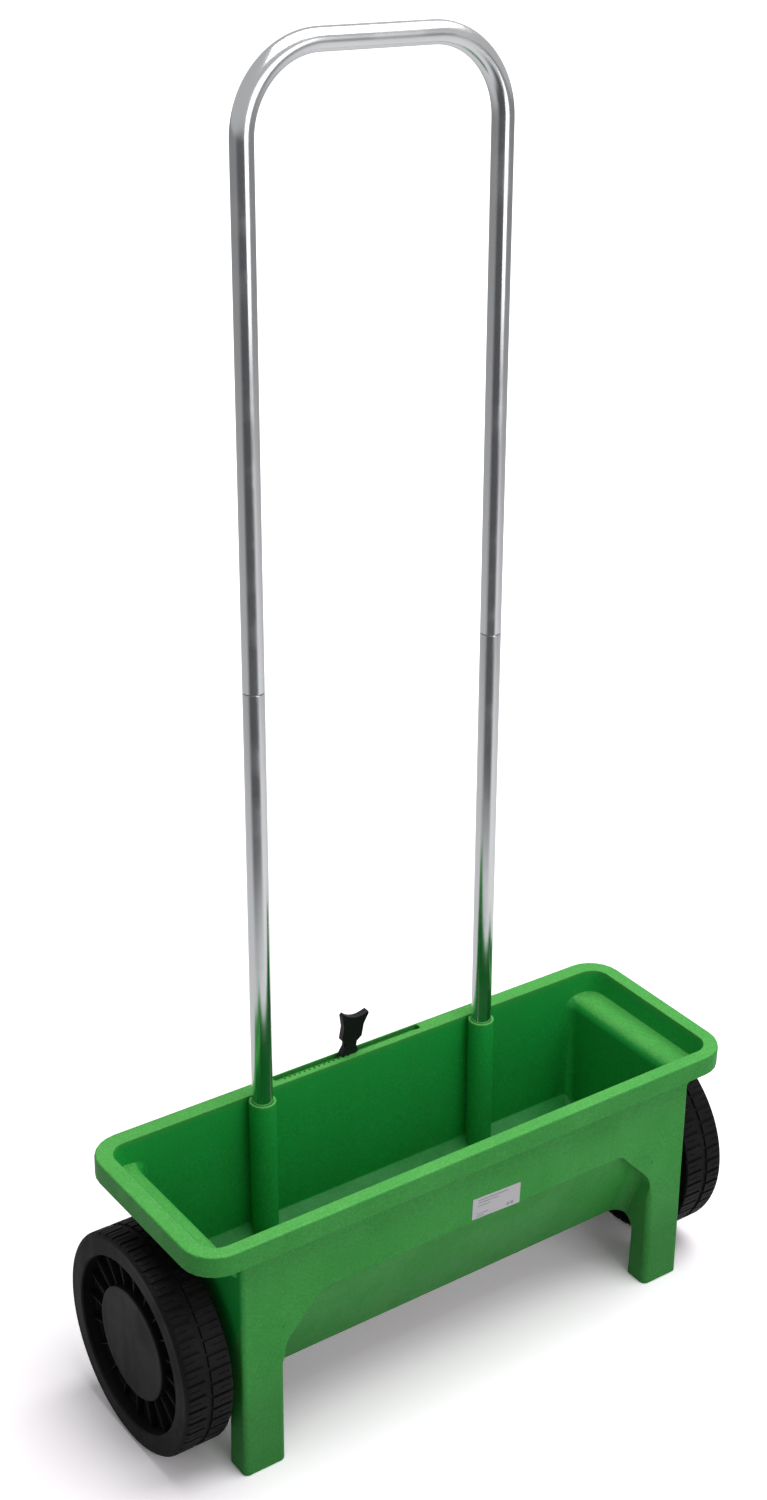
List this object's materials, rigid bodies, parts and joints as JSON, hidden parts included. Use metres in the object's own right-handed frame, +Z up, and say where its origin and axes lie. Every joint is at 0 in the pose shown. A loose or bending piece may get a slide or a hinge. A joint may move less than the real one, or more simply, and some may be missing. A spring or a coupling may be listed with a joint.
{
  "type": "drop spreader",
  "caption": "Walk-behind spreader: a long trough hopper on a wheeled axle with two front legs, a tall U-shaped tube handle and a lever that shifts a shutter under the outlets.",
  "frame": {"origin": "on the ground, midway between the wheels and under the middle of the hopper's opening", "axes": "+X along the axle to the right wheel, +Y to the handle side where the user walks, +Z up"},
  "size_m": [0.6032, 0.2159, 1.1691],
  "materials": {
    "green_plastic": "satin moulded plastic with a fine grain",
    "black_plastic": "matt moulded plastic",
    "bright_tube": "bright polished tube",
    "plain_steel": "plain plated",
    "pale_plastic": "natural moulded plastic",
    "label_film": "blank satin film"
  },
  "bodies": {
    "frame": {"hopper": "green_plastic", "handle_bow": "bright_tube", "handle_tube_left": "bright_tube", "handle_tube_right": "bright_tube", "socket_screw_left": "plain_steel", "socket_screw_right": "plain_steel", "joint_rivet_left": "plain_steel", "joint_rivet_right": "plain_steel", "axle_bush_left": "pale_plastic", "axle_bush_right": "pale_plastic", "guide_strip_front": "pale_plastic", "guide_strip_rear_left": "pale_plastic", "guide_strip_rear_right": "pale_plastic", "guide_screw_front_1": "plain_steel", "guide_screw_front_2": "plain_steel", "guide_screw_front_3": "plain_steel", "guide_screw_rear_1": "plain_steel", "guide_screw_rear_2": "plain_steel", "guide_screw_rear_3": "plain_steel", "guide_screw_rear_4": "plain_steel", "lever_keeper": "plain_steel", "keeper_screw_left": "plain_steel", "keeper_screw_right": "plain_steel", "rating_label": "label_film"},
    "axle_assembly": {"axle": "plain_steel", "agitator_left": "pale_plastic", "agitator_right": "pale_plastic", "agitator_pin_left": "plain_steel", "agitator_pin_right": "plain_steel", "drive_pin": "plain_steel", "wheel_left": "black_plastic", "hub_cap_left": "black_plastic", "axle_clip_left": "plain_steel", "axle_clip_right": "plain_steel", "wheel_washer_left": "plain_steel", "wheel_washer_right": "plain_steel"},
    "right_wheel": {"wheel_right": "black_plastic", "hub_cap_right": "black_plastic"},
    "lever": {"metering_lever": "black_plastic"},
    "shutter": {"metering_slide": "pale_plastic"}
  },
  "joints": [
    {"name": "axle_spin", "type": "hinge", "parent": "frame", "child": "axle_assembly", "pos_m": [0, 0.006, 0.1015], "axis": [1, 0, 0], "continuous": true},
    {"name": "right_wheel_spin", "type": "hinge", "parent": "frame", "child": "right_wheel", "pos_m": [0.2761, 0.006, 0.1015], "axis": [1, 0, 0], "continuous": true},
    {"name": "lever_shift", "type": "slide", "parent": "frame", "child": "lever", "axis": [1, 0, 0], "range_m": [-0.0728, 0]},
    {"name": "shutter_shift", "type": "slide", "parent": "frame", "child": "shutter", "axis": [0, 1, 0], "range_m": [-0.0131, 0]}
  ],
  "couplings": [
    {"joint": "shutter_shift", "follows": "lever_shift", "ratio": 0.17857}
  ]
}
